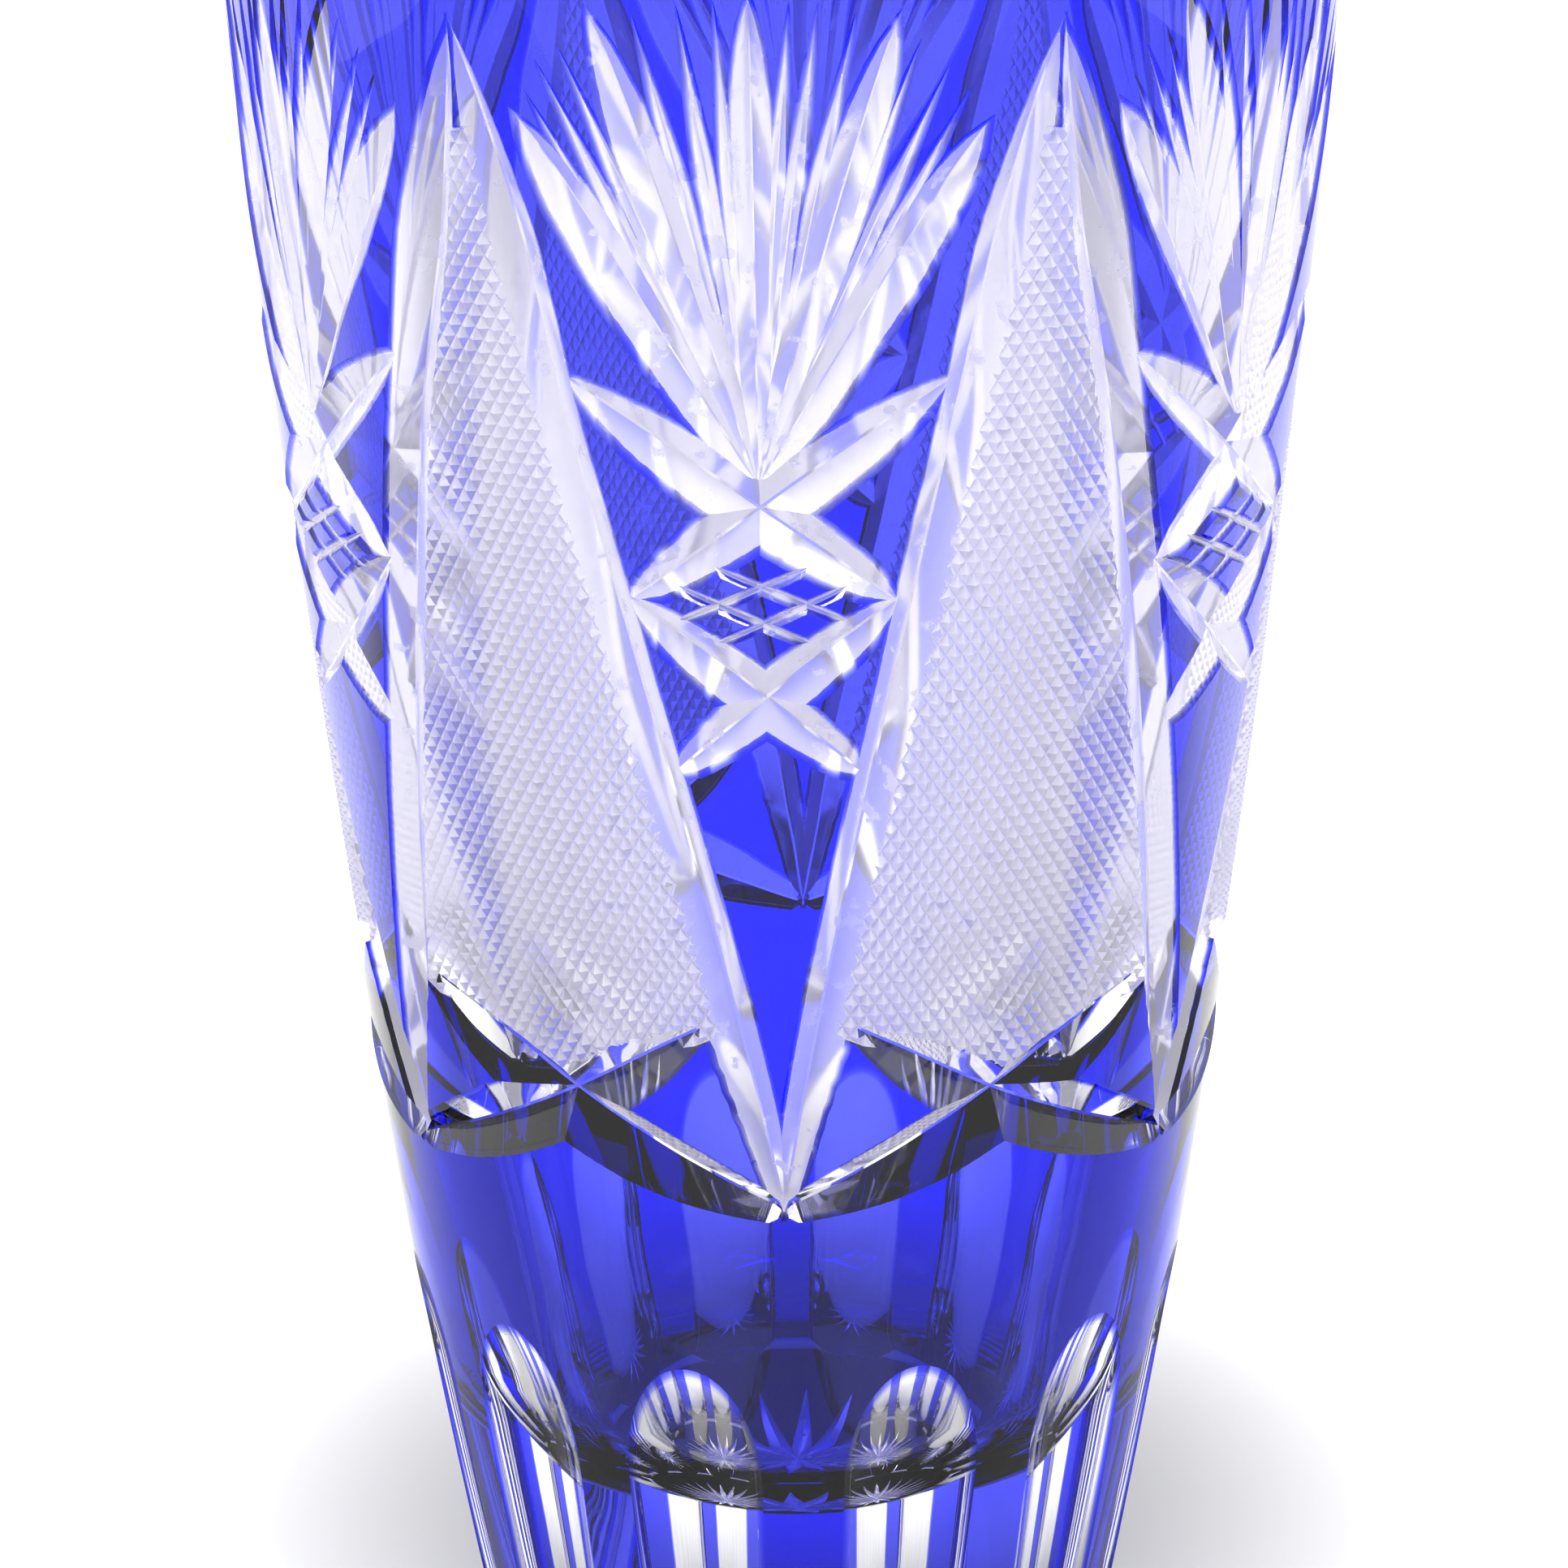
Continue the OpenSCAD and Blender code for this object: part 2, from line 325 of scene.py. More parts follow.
def box_faces(ids_under, ids_over, turned=None):
    """Triangles of the closed skin between two grids of point numbers, the under side first.
    turned says which quads of the under side are split along their other diagonal."""
    u, o = ids_under, ids_over

    def split(a, b, c, d):
        quads = np.stack([a.ravel(), b.ravel(), c.ravel(), d.ravel()], axis=1)
        return np.concatenate([quads[:, [0, 1, 2]], quads[:, [0, 2, 3]]])

    a, b, c, d = u[:-1, :-1], u[:-1, 1:], u[1:, 1:], u[1:, :-1]
    if turned is not None:
        a, b, c, d = (np.where(turned, q, p) for p, q in zip((a, b, c, d), (b, c, d, a)))
    under = split(a, b, c, d)
    rest = [
        split(o[:-1, :-1], o[1:, :-1], o[1:, 1:], o[:-1, 1:]),
        split(u[:-1, 0], u[1:, 0], o[1:, 0], o[:-1, 0]),
        split(u[:-1, -1], o[:-1, -1], o[1:, -1], u[1:, -1]),
        split(u[0, :-1], o[0, :-1], o[0, 1:], u[0, 1:]),
        split(u[-1, :-1], u[-1, 1:], o[-1, 1:], o[-1, :-1]),
    ]
    return under, np.concatenate(rest)


def cutter(under, over, kind, smooth=False, turned=None):
    """Closed solid between two grids of points, rows along the cut and columns across it.
    The glass's normal on the under side is the cross product of the grid's two directions,
    even along the rows, and across them too where smooth is set."""
    rows, columns = under.shape[:2]
    ids = np.arange(rows * columns).reshape(rows, columns)
    points = np.concatenate([under.reshape(-1, 3), over.reshape(-1, 3)])
    low, rest = box_faces(ids, ids + rows * columns, turned)
    along = np.gradient(under, axis=0)
    along = (along[:, 1:] + along[:, :-1]) / 2
    strips = unit(np.cross(np.diff(under, axis=1), along))
    out = (over - under)[:, 1:] + (over - under)[:, :-1]
    strips *= np.sign(np.einsum("ijk,ijk->ij", strips, out))[..., None]
    left, right = strips, strips
    if smooth:
        padded = np.concatenate([strips[:, :1], strips, strips[:, -1:]], axis=1)
        shared = unit(padded[:, 1:] + padded[:, :-1])
        left, right = shared[:, :-1], shared[:, 1:]
    # The corners of a quad are (row, left), (row, right), (next, right), (next, left)
    quads = np.stack([left[:-1], right[:-1], right[1:], left[1:]], axis=2).reshape(-1, 4, 3)
    facing = np.concatenate([quads[:, [0, 1, 2]], quads[:, [0, 2, 3]]])
    facing = np.concatenate([facing, np.zeros((len(rest), 3, 3))])
    corners = np.concatenate([low, rest])
    if volume(points, corners) < 0:
        corners, facing = corners[:, ::-1], facing[:, ::-1]
    kinds = np.full(len(corners), kind)
    return Solid(points, corners, kinds, facing)


def revolved(stretches, steps, lift=None):
    """Solid of revolution of a closed outline that starts and ends on the axis. Each stretch is
    (radii, heights, kind) and starts where the last one ended. The outline runs out along the
    bottom, up, and back in, so its normal is its direction turned a quarter to the right.
    lift(radius, angle) is added to the heights."""
    turn = np.arange(steps) * 2 * np.pi / steps
    radii = np.concatenate([s[0][:-1] for s in stretches] + [stretches[-1][0][-1:]])
    heights = np.concatenate([s[1][:-1] for s in stretches] + [stretches[-1][1][-1:]])
    sizes = np.where(radii > 1e-9, steps, 1)
    starts = np.cumsum(sizes) - sizes
    ids = starts[:, None] + np.where(sizes[:, None] > 1, np.arange(steps), 0)
    grid = np.stack(np.broadcast_arrays(
        radii[:, None] * np.sin(turn), -radii[:, None] * np.cos(turn), heights[:, None]), axis=-1)
    if lift is not None:
        grid[..., 2] += lift(radii[:, None], turn)
    points = np.empty((sizes.sum(), 3))
    points[ids.ravel()] = grid.reshape(-1, 3)
    first, second, kinds = [], [], []
    for r, z, kind in stretches:
        flat_normals = unit(np.stack([np.gradient(z), -np.gradient(r)], axis=1))
        first.append(flat_normals[:-1])
        second.append(flat_normals[1:])
        kinds.append(np.full(len(r) - 1, kind))
    around = np.stack([np.sin(turn), -np.cos(turn)], axis=1)

    def spun(normals):
        """A flat normal (out, up) at every step round."""
        level = normals[:, None, :1] * around
        return np.concatenate([level, np.broadcast_to(normals[:, None, 1:], level.shape[:2] + (1,))],
                              axis=2)

    low, high = spun(np.concatenate(first)), spun(np.concatenate(second))
    ahead = np.roll(ids, -1, axis=1)
    quads = np.stack([ids[:-1], ahead[:-1], ahead[1:], ids[1:]], axis=2).reshape(-1, 4)
    facing = np.stack([low, np.roll(low, -1, axis=1), np.roll(high, -1, axis=1), high],
                      axis=2).reshape(-1, 4, 3)
    kinds = np.repeat(np.concatenate(kinds), steps)
    corners = np.concatenate([quads[:, [0, 1, 2]], quads[:, [0, 2, 3]]])
    facing = np.concatenate([facing[:, [0, 1, 2]], facing[:, [0, 2, 3]]])
    kinds = np.concatenate([kinds, kinds])
    whole = (corners[:, 0] != corners[:, 1]) & (corners[:, 1] != corners[:, 2]) & (
        corners[:, 2] != corners[:, 0])
    return Solid(points, corners[whole], kinds[whole], facing[whole])


# ---------------------------------------------------------------- the turned blank


def side(height):
    """Outside radius in mm: a straight taper from base to rim plus a parabola."""
    share = height / HEIGHT
    base = form().base_radius / MM
    return base + (RIM_RADIUS - base) * share + 4 * form().swell / MM * share * (1 - share)


def side_slope(height):
    """How fast the outside radius grows with height."""
    base = form().base_radius / MM
    return ((RIM_RADIUS - base) + 4 * form().swell / MM * (1 - 2 * height / HEIGHT)) / HEIGHT


def inside(height):
    """Inside radius in mm: the wall thickens downwards with the square of the distance."""
    drop = (HEIGHT - height) / (HEIGHT - form().floor / MM)
    extra = (form().foot_wall - form().rim_wall) / MM
    return side(height) - form().rim_wall / MM - extra * drop**2


def blank(steps=STEPS_ROUND):
    """The turned blank: base, bevel, side, rim with small rounds, inside and rounded floor."""
    bevel = form().bevel / MM
    floor, turn = form().floor / MM, form().floor_round / MM
    ease = 1.2
    heights = np.linspace(bevel, HEIGHT - ease, 20)
    arc = np.radians(np.linspace(0, 90, 5))
    outer_top, inner_top = side(HEIGHT - ease), inside(HEIGHT - ease)
    down = np.linspace(HEIGHT - ease, floor + turn, 16)
    corner_r = inside(floor + turn) - turn
    bend = np.radians(np.linspace(0, 90, 9))
    rim_out = np.stack([outer_top - ease * (1 - np.cos(arc)), HEIGHT - ease + ease * np.sin(arc)])
    rim_in = np.stack([inner_top + ease * (1 - np.sin(arc)), HEIGHT - ease + ease * np.cos(arc)])
    rim = np.concatenate([rim_out, rim_in], axis=1)
    base_edge = side(0) - bevel
    inner_r = np.concatenate([inside(down), corner_r + turn * np.cos(bend[1:]), [0.0]])
    inner_z = np.concatenate([down, floor + turn - turn * np.sin(bend[1:]), [floor]])
    return revolved([
        (np.linspace(0, base_edge, 3), np.zeros(3), EDGE),
        (np.array([base_edge, side(bevel)]), np.array([0, bevel]), EDGE),
        (side(heights), heights, SKIN),
        (rim[0], rim[1], EDGE),
        (inner_r, inner_z, INSIDE),
    ], steps)


def core(gap, steps=STEPS_ROUND):
    """Solid that ends under the casing, for parting the two glasses."""
    heights = np.linspace(-4, HEIGHT + 4, 20)
    under = side(heights) - form().casing / MM + gap
    return revolved([
        (np.array([0, under[0]]), np.array([-4.0, -4.0]), SKIN),
        (under, heights, SKIN),
        (np.array([under[-1], 0]), np.array([HEIGHT + 4, HEIGHT + 4]), SKIN),
    ], steps)


# ---------------------------------------------------------------- the wheel cuts

# How far the hand-cut pattern has wandered round at the lower apexes and spires, in degrees.
# The values past 60 degrees either way, on the back, are made up in the same manner
WANDER_AT = [-180, -120, -60, -30, 0, 30, 60, 120]
WANDER_BY = [1.0, 2.5, 3.9, 3.2, 1.6, 0.2, 1.2, 1.8]
WANDER_TOP, WANDER_LOW = 215.0, 102.0
SPIRE_TOP, APEX = 273.6, 101.9
ROOT = 213.4


def wander(turn, height):
    """Hand drift of an angle in degrees: it grows from nothing high up to its full value at the
    lower apexes, and changes evenly between the places where it is given."""
    grown = np.clip((WANDER_TOP - height) / (WANDER_TOP - WANDER_LOW), 0, 1)
    return np.interp(turn, WANDER_AT, WANDER_BY, period=360) * grown


def skin_point(turn, height, out, drift=True):
    """The point at an angle from the front in degrees, a height, and a distance out of the skin
    along its normal."""
    slope = side_slope(height)
    steep = np.sqrt(1 + slope**2)
    angle = np.radians(turn + (wander(turn, height) if drift else 0))
    radius = side(height) + out / steep
    return np.stack([radius * np.sin(angle), -radius * np.cos(angle),
                     height - out * slope / steep], axis=-1)


def eased(shares, knots, values):
    """Values at shares of a length, between knots, with the corners smoothed."""
    fine = np.linspace(-0.04, 1.04, 433)
    raw = np.interp(fine, knots, values)
    window = np.hanning(35)
    soft = np.convolve(raw, window / window.sum(), mode="same")
    ends = (fine < 0.02) | (fine > 0.98)
    return np.interp(shares, fine, np.where(ends, raw, soft))


def groove(start, end, depth, left, right, sag=0.0, flat=0.22, rows=24, close=0.012,
           kind=MITRE):
    """V-shaped wheel cut along a straight line on the skin, from start to end, each an
    (angle, height). depth, left and right are functions of the share of the length: the depth
    below the skin, and how much a flank spreads for each mm of depth, to the left and to the right
    of a cut that runs down. sag bows the line to its left. A narrow flat lies at the bottom."""
    share = np.linspace(-close, 1 + close, rows)
    turn = start[0] + (end[0] - start[0]) * share
    height = start[1] + (end[1] - start[1]) * share
    radius, steep = side(height), np.sqrt(1 + side_slope(height) ** 2)
    run_x = radius * np.radians(end[0] - start[0])
    run_z = steep * (end[1] - start[1])
    length = np.hypot(run_x, run_z)
    step_x, step_z = -run_z / length, run_x / length
    inner = np.clip(share, 0, 1)
    deep = depth(inner)
    outside = (share < 0) | (share > 1)
    deep = np.where(outside, -0.25, deep)
    bottom = flat * np.clip(deep / 2.0, 0.05, 1)
    spread_l, spread_r = left(inner) * (deep + REACH), right(inner) * (deep + REACH)
    bow = -sag * 4 * inner * (1 - inner)
    across = np.stack([-(bottom + spread_l), -bottom, bottom, bottom + spread_r], axis=1)
    across = across + bow[:, None]
    edge = np.full_like(deep, REACH)
    out = np.stack([edge, -deep, -deep, edge], axis=1)

    def placed(outs):
        turns = turn[:, None] + np.degrees(across * step_x[:, None] / radius[:, None])
        heights = height[:, None] + across * step_z[:, None] / steep[:, None]
        return skin_point(turns, heights, outs)

    return cutter(placed(out), placed(np.full_like(out, REACH + LID)), kind)


def ring(make):
    """The same cut in each of the six columns, made by make(angle of the column)."""
    return joined([make(SECTOR * k) for k in range(COLUMNS)])


def even(value):
    """A spread that is the same along the whole cut."""
    return lambda share: np.full_like(share, value)


def profile(knots, widths, spread):
    """Depth along a cut whose half widths are given at shares of its length."""
    return lambda share: eased(share, knots, widths) / spread


def leg(column, way):
    """One of the two long mitres of a spire: a leaf-shaped start, a long even run, and a taper
    into the lower apex. Its inner flank is the wider one."""
    knots = [0, 0.03, 0.085, 0.17, 0.30, 0.54, 0.82, 0.92, 1.0]
    outer = [0, 1.6, 3.0, 4.6, 3.55, 3.1, 3.2, 2.9, 1.7]
    inner = [0, 1.6, 3.2, 4.6, 5.2, 6.3, 5.0, 3.1, 1.8]
    depth = profile(knots, outer, 0.98)

    def wide(share):
        return 0.98 * eased(share, knots, np.array(inner) + 0.3) / (
            eased(share, knots, np.array(outer) + 0.3))

    centre = column + SECTOR / 2
    sides = (wide, even(0.98)) if way > 0 else (even(0.98), wide)
    return groove((centre, SPIRE_TOP), (centre + way * SECTOR / 2, APEX), depth, *sides, rows=44)


def leaf(column, way):
    """One of the two crossed leaves under a spire, from its upper tip to the lower apex."""
    widths = [1.2, 2.4, 4.2, 5.4, 5.6, 5.4, 4.5, 3.3, 1.9]
    spread = 5.6 / (cuts().leaf_depth / MM)
    depth = profile([0, 0.06, 0.15, 0.28, 0.48, 0.64, 0.78, 0.89, 1], widths, spread)
    centre = column + SECTOR / 2
    return groove((centre - way * 21.2, 131.6), (centre + way * SECTOR / 2, APEX), depth,
                  even(spread), even(spread), sag=2.4 * way, rows=34, kind=LEAF)


def small_cross(column, way, top, bottom, width):
    """One bar of a small cross, from its upper tip to its lower tip."""
    spread = width / (cuts().cross_depth / MM)
    depth = profile([0, 0.08, 0.16, 0.26, 0.45, 0.7, 0.87, 1],
                    np.array([0, 0.4, 0.62, 0.84, 1, 0.86, 0.62, 0]) * width, spread)
    return groove((column - way * top[0], top[1]), (column + way * bottom[0], bottom[1]),
                  depth, even(spread), even(spread))


def fine_cut(column, way, share):
    """One of the fine cuts that cross the diamond, parallel to two of its sides."""
    tip, top, low, past = 13.8, (0, 202.9), (0, 187.0), 0.2
    middle = 195.3
    a = np.array([-tip + tip * share, middle + (top[1] - middle) * share])
    b = np.array([tip * share, low[1] + (middle - low[1]) * share])
    a, b = a - past * (b - a), b + past * (b - a)
    depth = profile([0, 0.12, 0.5, 0.88, 1], [0, 0.78, 1.0, 0.78, 0], 0.8)
    return groove((column + way * a[0], a[1]), (column + way * b[0], b[1]), depth,
                  even(0.8), even(0.8), flat=0.05)


# Tips of the fan's blades and needles as (angle, height), and how wide each kind of blade is
BLADES = [(-23.7, 262.6), (-15.6, 277.0), (-0.2, 279.6), (13.9, 276.2), (23.0, 261.6)]
BLADE_WIDTH = [4.4, 3.85, 3.35, 3.85, 4.4]
NEEDLES = [(-22.4, 266.0), (-21.0, 270.0), (-18.6, 272.0), (-11.1, 276.5), (-6.9, 277.9),
           (-3.4, 278.5), (3.6, 278.4), (6.3, 278.2), (9.8, 276.8), (16.0, 273.0),
           (18.7, 269.2), (20.8, 266.0)]


def ray(column, tip, width, knots, widths, depth_mm):
    """A cut from a fan's tip down to its root."""
    spread = width / depth_mm
    depth = profile(knots, np.array(widths) * width, spread)
    return groove((column + tip[0], tip[1]), (column, ROOT - 1.5), depth, even(spread),
                  even(spread), flat=0.12, rows=24)


def blade(column, tip, width):
    """A fan blade, widest a third of the way down and narrow at the root."""
    return ray(column, tip, width, [0, 0.05, 0.1, 0.22, 0.4, 0.6, 0.8, 1],
               [0, 0.32, 0.56, 0.86, 1, 0.92, 0.82, 0.4], cuts().blade_depth / MM)


def needle(column, tip):
    """A needle between two blades, which widens until it meets its neighbours."""
    return ray(column, tip, 1.75, [0, 0.08, 0.2, 0.36, 0.7, 1],
               [0, 0.3, 0.62, 1, 0.9, 0.1], cuts().needle_depth / MM)


def hatch_field(column):
    """Solid over one field between the two legs of a spire, down to the crossed leaves. Across it
    u runs from leg to leg, down it v runs from the top, and the bottom edge dips in the middle."""
    u, v = np.meshgrid(np.linspace(-1, 1, 17), np.linspace(0, 1, 24))
    top, low, dip = 259.0, 131.0, 13.0
    straight = top + (low - top) * v
    turn = column + SECTOR / 2 + u * SECTOR / 2 * (SPIRE_TOP - straight) / (SPIRE_TOP - APEX)
    height = straight - dip * v * (1 - np.abs(u))
    return cutter(skin_point(turn, height, -3.0), skin_point(turn, height, REACH), MITRE)


def hatch_points(column):
    """Plate whose under side is a lattice of four-sided points. Two families of V grooves cross,
    so the depth is the larger of two zigzags, which has its corners at half steps."""
    wide, tall = cuts().hatch_width / MM, cuts().hatch_height / MM
    steps = np.arange(-62, 63)
    a, b = np.meshgrid(steps, steps, indexing="ij")
    x, z = wide * (a - b) / 4, 193 + tall * (a + b) / 4
    keep = (np.abs(x) < 200) & (z > 0)
    groove_here = ((a % 2) | (b % 2)).astype(float)
    top = -(form().casing / MM + 0.12)
    out = top - cuts().hatch_depth / MM * groove_here
    height = np.where(keep, z, 0)
    turn = column + SECTOR / 2 + np.degrees(x / side(height))
    turned = ((a + b) % 2)[:-1, :-1].astype(bool)
    return cutter(skin_point(turn, height, out), skin_point(turn, height, REACH + 2), HATCH,
                  turned=turned)


def hatching(column):
    """The points of one field."""
    return combined(hatch_points(column), "INTERSECT", [hatch_field(column)])


def flute(turn):
    """Round-bottomed flute up the foot: a parabola across, at full depth to just under its top and
    lifted out along another parabola, which leaves an elliptic arch."""
    deep, half = cuts().flute_depth / MM, cuts().flute_width / MM / 2
    top, fade = cuts().flute_top / MM, 21.0
    heights = np.concatenate([np.linspace(-6, top - fade, 6),
                              np.linspace(top - fade, top + 5, 18)[1:]])
    across = np.linspace(-1.35, 1.35, 19)
    rise = np.clip((heights - (top - fade)) / fade, 0, None)
    narrow = side(heights) / side(50)
    out = -deep * (1 - rise[:, None] ** 2) + deep * across**2
    x = half * narrow[:, None] * across
    turns = turn + np.degrees(x / side(heights)[:, None])
    level = np.broadcast_to(heights[:, None], turns.shape)
    return cutter(skin_point(turns, level, out, drift=False),
                  skin_point(turns, level, np.full_like(out, deep + REACH), drift=False),
                  FLUTE, smooth=True)


# How far each flute stands off its place, in degrees, round from the front's left
FLUTE_TURNS = [3.4, 2.6, 5.0, 5.1, 4.0, 3.0, 3.5, 4.5, 3.2, 4.0, 3.0, 3.6]


def flutes():
    """Twelve flutes, each a little off its place."""
    step = 180 / COLUMNS
    return joined([flute(-60 - step / 2 + step * (k + 1) + FLUTE_TURNS[k])
                   for k in range(2 * COLUMNS)])


def star():
    """Rays under the base: along a ray the depth falls off with the square of the radius, and
    between two rays it drops with the distance round, so every ray is a V."""
    rays = 24
    reach, deep = cuts().star_radius / MM, cuts().star_depth / MM
    radii = np.linspace(reach + 3, 0, 16)

    def lift(radius, turn):
        between = np.arange(len(turn)) % 2
        wave = deep * (1 - (radius / reach) ** 2) - between * radius * np.pi / rays * 0.9
        return np.where(np.arange(len(wave))[:, None] >= 2, wave, 0)

    return revolved([
        (np.array([0, reach + 3]), np.array([-4.0, -4.0]), STAR),
        (np.array([reach + 3, reach + 3]), np.array([-4.0, 0.0]), STAR),
        (radii, np.zeros(16), STAR),
    ], 2 * rays, lift)


def all_cuts():
    """Every wheel cut, in sets whose solids don't touch each other."""
    made = [ring(lambda c, w=way: leg(c, w)) for way in (1, -1)]
    made += [ring(lambda c, w=way: leaf(c, w)) for way in (1, -1)]
    for way in (1, -1):
        made.append(ring(lambda c, w=way: small_cross(c, w, (21.0, 227.7), (16.0, 193.6), 4.9)))
        made.append(ring(lambda c, w=way: small_cross(c, w, (15.9, 197.2), (12.2, 168.5), 4.3)))
        for share in (1 / 3, 2 / 3):
            made.append(ring(lambda c, w=way, s=share: fine_cut(c, w, s)))
    for tip, width in zip(BLADES, BLADE_WIDTH):
        made.append(ring(lambda c, t=tip, w=width: blade(c, t, w)))
    made += [ring(lambda c, t=tip: needle(c, t)) for tip in NEEDLES]
    made += [ring(hatching), flutes(), star()]
    return made


# ---------------------------------------------------------------- parting the glass


def loose_labels(solid):
    """A number for each triangle that is the same all over one loose part: every point takes the
    lowest number among its triangles' points until nothing changes."""
    labels = np.arange(len(solid.points))
    while True:
        lowest = labels[solid.corners].min(axis=1)
        spread = labels.copy()
        for n in range(3):
            np.minimum.at(spread, solid.corners[:, n], lowest)
        spread = spread[spread]
        if (spread == labels).all():
            return labels[solid.corners[:, 0]]
        labels = spread


def some(solid, chosen):
    """The chosen triangles of a solid, with only their own points."""
    used, corners = np.unique(solid.corners[chosen], return_inverse=True)
    return Solid(solid.points[used], corners.reshape(-1, 3), solid.kinds[chosen],
                 solid.facing[chosen])


def island_name(part):
    """The name of the casing piece that a loose part belongs to, by its height and angle."""
    low, high = part.points[:, 2].min(), part.points[:, 2].max()
    middle = (part.points.min(axis=0) + part.points.max(axis=0)) / 2
    if low < 20:
        return "foot_casing"
    if high > 227:
        return "collar_casing"
    turn = np.degrees(np.arctan2(middle[0], -middle[1]))
    turn -= wander(turn, middle[2])
    column = int(round(turn / SECTOR)) % COLUMNS + 1
    if middle[2] < 128:
        return f"base_triangles_{int(np.floor(turn / SECTOR)) % COLUMNS + 1}"
    for lowest, name in ((203, "upper_wedges"), (188.5, "diamond_lattice"), (177, "lower_wedges"),
                         (128, "shield")):
        if middle[2] > lowest:
            return f"{name}_{column}"


def parted():
    """Every piece of the vase by name, with the faces where the two glasses are fused marked."""
    smallest, gap, fused = 0.05, 0.02, 0.06
    whole = combined(blank(), "DIFFERENCE", all_cuts())
    skins = {
        "crystal_body": [combined(whole, "INTERSECT", [core(0)])],
    }
    casing = combined(whole, "DIFFERENCE", [core(gap)])
    labels = loose_labels(casing)
    for label in np.unique(labels):
        part = some(casing, labels == label)
        if volume(part.points, part.corners) > smallest:
            skins.setdefault(island_name(part), []).append(part)
    pieces = {}
    for name, parts in skins.items():
        solid = joined(parts)
        middles = solid.points[solid.corners].mean(axis=1)
        radius = np.hypot(middles[:, 0], middles[:, 1])
        under = side(middles[:, 2]) - form().casing / MM
        bonded = (solid.kinds == SKIN) & (np.abs(radius - under) < fused)
        pieces[name] = (solid, bonded)
    return pieces


_parted = {}


def piece_arrays(name):
    """The arrays of one piece. The glass is cut and parted the first time."""
    if not _parted:
        _parted.update(parted())
    if name not in _parted:
        raise RuntimeError(f"the cutting left no piece named {name}")
    return _parted[name]


def make_piece(name, slot, *materials):
    """The finished piece: polished normals as the wheels leave them, and its glass."""
    solid, bonded = piece_arrays(name)
    mesh = mesh_of(solid, name, MM)
    corners = solid.points[solid.corners]
    flat = unit(np.cross(corners[:, 1] - corners[:, 0], corners[:, 2] - corners[:, 0]))
    facing = unit(solid.facing)
    agree = np.einsum("ijk,ik->ij", facing, flat)
    facing = np.where(agree[..., None] < 0, -facing, facing)
    plain = np.isin(solid.kinds, FLAT_KINDS)[:, None] | (np.abs(agree) < 0.6)
    facing = np.where(plain[..., None], flat[:, None, :], facing)
    mesh.polygons.foreach_set("use_smooth", np.ones(len(solid.corners), bool))
    mesh.normals_split_custom_set(facing.reshape(-1, 3).astype(np.float32))
    mesh.attributes.remove(mesh.attributes["facing"])
    mesh.attributes.new("shown", "FLOAT", "FACE").data.foreach_set(
        "value", (~bonded).astype(np.float32))
    mesh.attributes.new("silk", "FLOAT", "FACE").data.foreach_set(
        "value", SILKINESS[solid.kinds].astype(np.float32))
    for each in materials:
        mesh.materials.append(each)
    if len(materials) > 1:
        mesh.polygons.foreach_set("material_index", MATERIAL_OF_KIND[solid.kinds].astype(np.int32))
    thing = bpy.data.objects.new(name + "_glass", mesh)
    bpy.context.scene.collection.objects.link(thing)
    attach(thing, "root")
    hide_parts(name)
    return thing


# ---------------------------------------------------------------- the two glasses


def wheel_finish():
    """Shared effect: how rough a cut is, and the faint ripple of hand-made glass. Silk or, where
    fine noise is high, frost is multiplied by the face's own silkiness. The ripple is broad
    noise."""
    name = "wheel_finish"
    if name in bpy.data.node_groups:
        return bpy.data.node_groups[name]
    group = bpy.data.node_groups.new(name, "ShaderNodeTree")
    for socket, value in (("Silk", 0.06), ("Frost", 0.4), ("Streak Scale", 260.0),
                          ("Ripple Scale", 55.0)):
        made = group.interface.new_socket(socket, in_out="INPUT", socket_type="NodeSocketFloat")
        made.default_value = value
    for socket in ("Roughness", "Height"):
        group.interface.new_socket(socket, in_out="OUTPUT", socket_type="NodeSocketFloat")
    nodes, links = group.nodes, group.links
    given, put = nodes.new("NodeGroupInput"), nodes.new("NodeGroupOutput")
    place, silky = nodes.new("ShaderNodeTexCoord"), nodes.new("ShaderNodeAttribute")
    silky.attribute_name = "silk"

    def noise(scale, detail):
        node = nodes.new("ShaderNodeTexNoise")
        node.inputs["Detail"].default_value = detail
        links.new(place.outputs["Object"], node.inputs["Vector"])
        links.new(given.outputs[scale], node.inputs["Scale"])
        return node.outputs["Fac"]

    streak, rough = nodes.new("ShaderNodeMapRange"), nodes.new("ShaderNodeMath")
    streak.inputs["From Min"].default_value = STREAK_FROM
    streak.inputs["From Max"].default_value = STREAK_TO
    links.new(noise("Streak Scale", 6.0), streak.inputs["Value"])
    links.new(given.outputs["Silk"], streak.inputs["To Min"])
    links.new(given.outputs["Frost"], streak.inputs["To Max"])
    rough.operation = "MULTIPLY"
    links.new(streak.outputs["Result"], rough.inputs[0])
    links.new(silky.outputs["Fac"], rough.inputs[1])
    links.new(rough.outputs["Value"], put.inputs["Roughness"])
    links.new(noise("Ripple Scale", 1.0), put.inputs["Height"])
    return group


